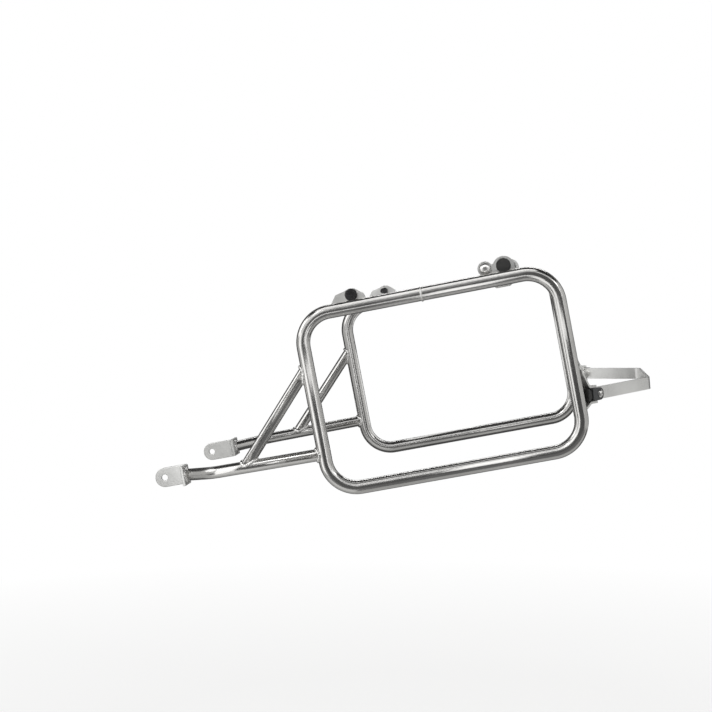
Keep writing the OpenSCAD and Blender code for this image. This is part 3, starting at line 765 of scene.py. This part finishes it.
mix = add_node(tree, "ShaderNodeMixShader",
               [(0, amount.outputs[0]), (1, shader.outputs[0]), (2, glow.outputs[0])])
tree.links.new(mix.outputs[0], tree.nodes["Material Output"].inputs["Surface"])
card("floor", FLOOR_MIDDLE, (16, 16), (0.33, 0, 5), floor_finish)
print(f"floor at {FLOOR_MIDDLE[2]} m")

# %% [markdown]
# Polished metal shows the room more than itself: photographers stand grey and white cards round
# it, out of the picture. The grey ones draw the dark bands along the tubes, and small white ones
# close to the frame draw the bright lines. The cards are seen only in reflections, and each one's
# place comes from the angle at which a tube mirrors it.

# %% Cards
def card_material(name, tone, strength):
    """A card that shows one grey in reflections, whatever light falls on it."""
    made, tree, _ = new_material(name)
    glow = add_node(tree, "ShaderNodeEmission", Color=linear(tone), Strength=strength)
    tree.links.new(glow.outputs[0], tree.nodes["Material Output"].inputs["Surface"])
    return made


# Centre, size and the point that it faces, all in metres, then tone and strength.
CARDS = {
    "card_near": ((0.415, -0.44, 0.125), (0.11, 0.2), (0.415, 0.0, 0.125), "#ffffff", 1.5),
    "card_strip": ((0.38, -0.44, 0.172), (0.44, 0.035), (0.38, 0.0, 0.172), "#ffffff", 1.4),
    "card_top": ((0.3447, -0.262, 0.309), (0.03, 0.34), (0.356, -0.262, 0.25), "#ffffff", 1.5),
    "card_upright": ((0.031, -0.394, 0.067), (0.14, 0.34), (0.215, -0.24, 0.107), "#ffffff", 1.6),
    "card_brace": ((-0.87, -0.49, 0.62), (0.7, 0.6), (0.18, -0.235, 0.1), "#ffffff", 2.0),
    "card_front": ((0.35, -1.7, 0.6), (4.2, 2.1), (0.35, 0.0, 0.6), "#5a5a5a", 1.0),
    "card_over": ((0.35, 0.25, 1.7), (4.2, 2.7), (0.35, 0.25, 0.0), "#303030", 1.0),
    "card_back": ((0.35, 1.7, 0.6), (4.2, 1.8), (0.35, 0.0, 0.6), "#484848", 1.0),
    "card_left": ((-1.5, -0.5, 0.6), (1.8, 2.0), (0.35, -0.5, 0.6), "#c8c8c7", 1.0),
    "card_left_back": ((-1.5, 1.05, 0.6), (1.3, 2.0), (0.35, 1.05, 0.6), "#484848", 1.0),
    "card_strut": ((-1.0, -1.66, 0.6), (1.4, 2.1), (-1.0, 0.0, 0.6), "#cccccc", 1.0),
    "card_arm": ((0.33, 0.33, 0.105), (0.2, 0.12), (0.61, 0.17, 0.12), "#ffffff", 1.1),
    "card_right": ((2.2, 0.0, 0.6), (2.6, 2.0), (0.35, 0.0, 0.6), "#cacac9", 1.0),
    "floor_front": ((0.35, -1.1, -0.415), (4.2, 1.2), (0.35, -1.1, 2.0), "#747474", 1.0),
    "floor_middle": ((0.35, -0.2, -0.415), (4.2, 0.6), (0.35, -0.2, 2.0), "#bcbcbb", 1.0),
    "floor_back": ((0.35, 0.9, -0.415), (4.2, 1.6), (0.35, 0.9, 2.0), "#565656", 1.0),
    "floor_struts": ((-0.05, -0.55, -0.41), (0.55, 0.5), (-0.05, -0.55, 2.0), "#e4e4e3", 1.0),
}
ROLL = {"card_strip": -LOOP_TILT}            # this one rises with the loop's top tube
for name, (centre, size, towards, tone, strength) in CARDS.items():
    made = card(name, centre, size, towards, card_material(name, tone, strength), ROLL.get(name, 0.0))
    made.visible_camera = made.visible_diffuse = False
    made.visible_shadow = made.visible_transmission = False
print(f"{len(CARDS)} cards")

# %% [markdown]
# Three soft boxes light the frame at a plain level, at which a colour renders about as it is
# written: one large from the front left and above, one from the right, and one strip behind.

# %% Lights
LAMPS = {
    "key": ((-0.9, -2.4, 1.7), (1.6, 1.0), 42.0),
    "side": ((2.4, -0.9, 1.2), (1.0, 1.4), 16.0),
    "back": ((0.4, 2.2, 1.8), (2.0, 0.7), 22.0),
}
FRAME_MIDDLE = Vector((0.35, 0, 0.12))
for name, (place, size, watts) in LAMPS.items():
    lamp = bpy.data.lights.new(name, "AREA")
    lamp.shape = "RECTANGLE"
    lamp.size, lamp.size_y = size
    lamp.energy = watts
    holder = bpy.data.objects.new(name, lamp)
    holder.location = place
    holder.rotation_euler = (FRAME_MIDDLE - Vector(place)).to_track_quat("-Z", "Y").to_euler()
    scene.collection.objects.link(holder)
print(f"{len(LAMPS)} lamps")

# %% [markdown]
# The backdrop is pure white to the eye and in reflections, as in the photograph. As a light it
# counts for less than half of that, so that the soft boxes still shape the rubber and the plates.

# %% Backdrop
FILL = 0.45
world = bpy.data.worlds.new("studio")
world.use_nodes = True
scene.world = world
tree = world.node_tree
tree.nodes.clear()
rays = add_node(tree, "ShaderNodeLightPath")
seen = add_node(tree, "ShaderNodeMath", operation="MAXIMUM", inputs=[
    (0, rays.outputs["Is Camera Ray"]), (1, rays.outputs["Is Glossy Ray"])])
seen = add_node(tree, "ShaderNodeMath", operation="MAXIMUM", inputs=[
    (0, seen.outputs[0]), (1, rays.outputs["Is Transmission Ray"])])
backdrop = add_node(tree, "ShaderNodeBackground", Color=linear("#ffffff"), Strength=1.0)
fill = add_node(tree, "ShaderNodeBackground", Color=linear("#ffffff"), Strength=FILL)
mix = add_node(tree, "ShaderNodeMixShader",
               [(0, seen.outputs[0]), (1, fill.outputs[0]), (2, backdrop.outputs[0])])
add_node(tree, "ShaderNodeOutputWorld", [("Surface", mix.outputs[0])])
scene.view_settings.view_transform = "Standard"
print(f"white backdrop, and a fill of {FILL:g}")

# %% [markdown]
# The script ends here: every finished piece rides on a body, and no solid was moved.

# %% End
print("scene built")
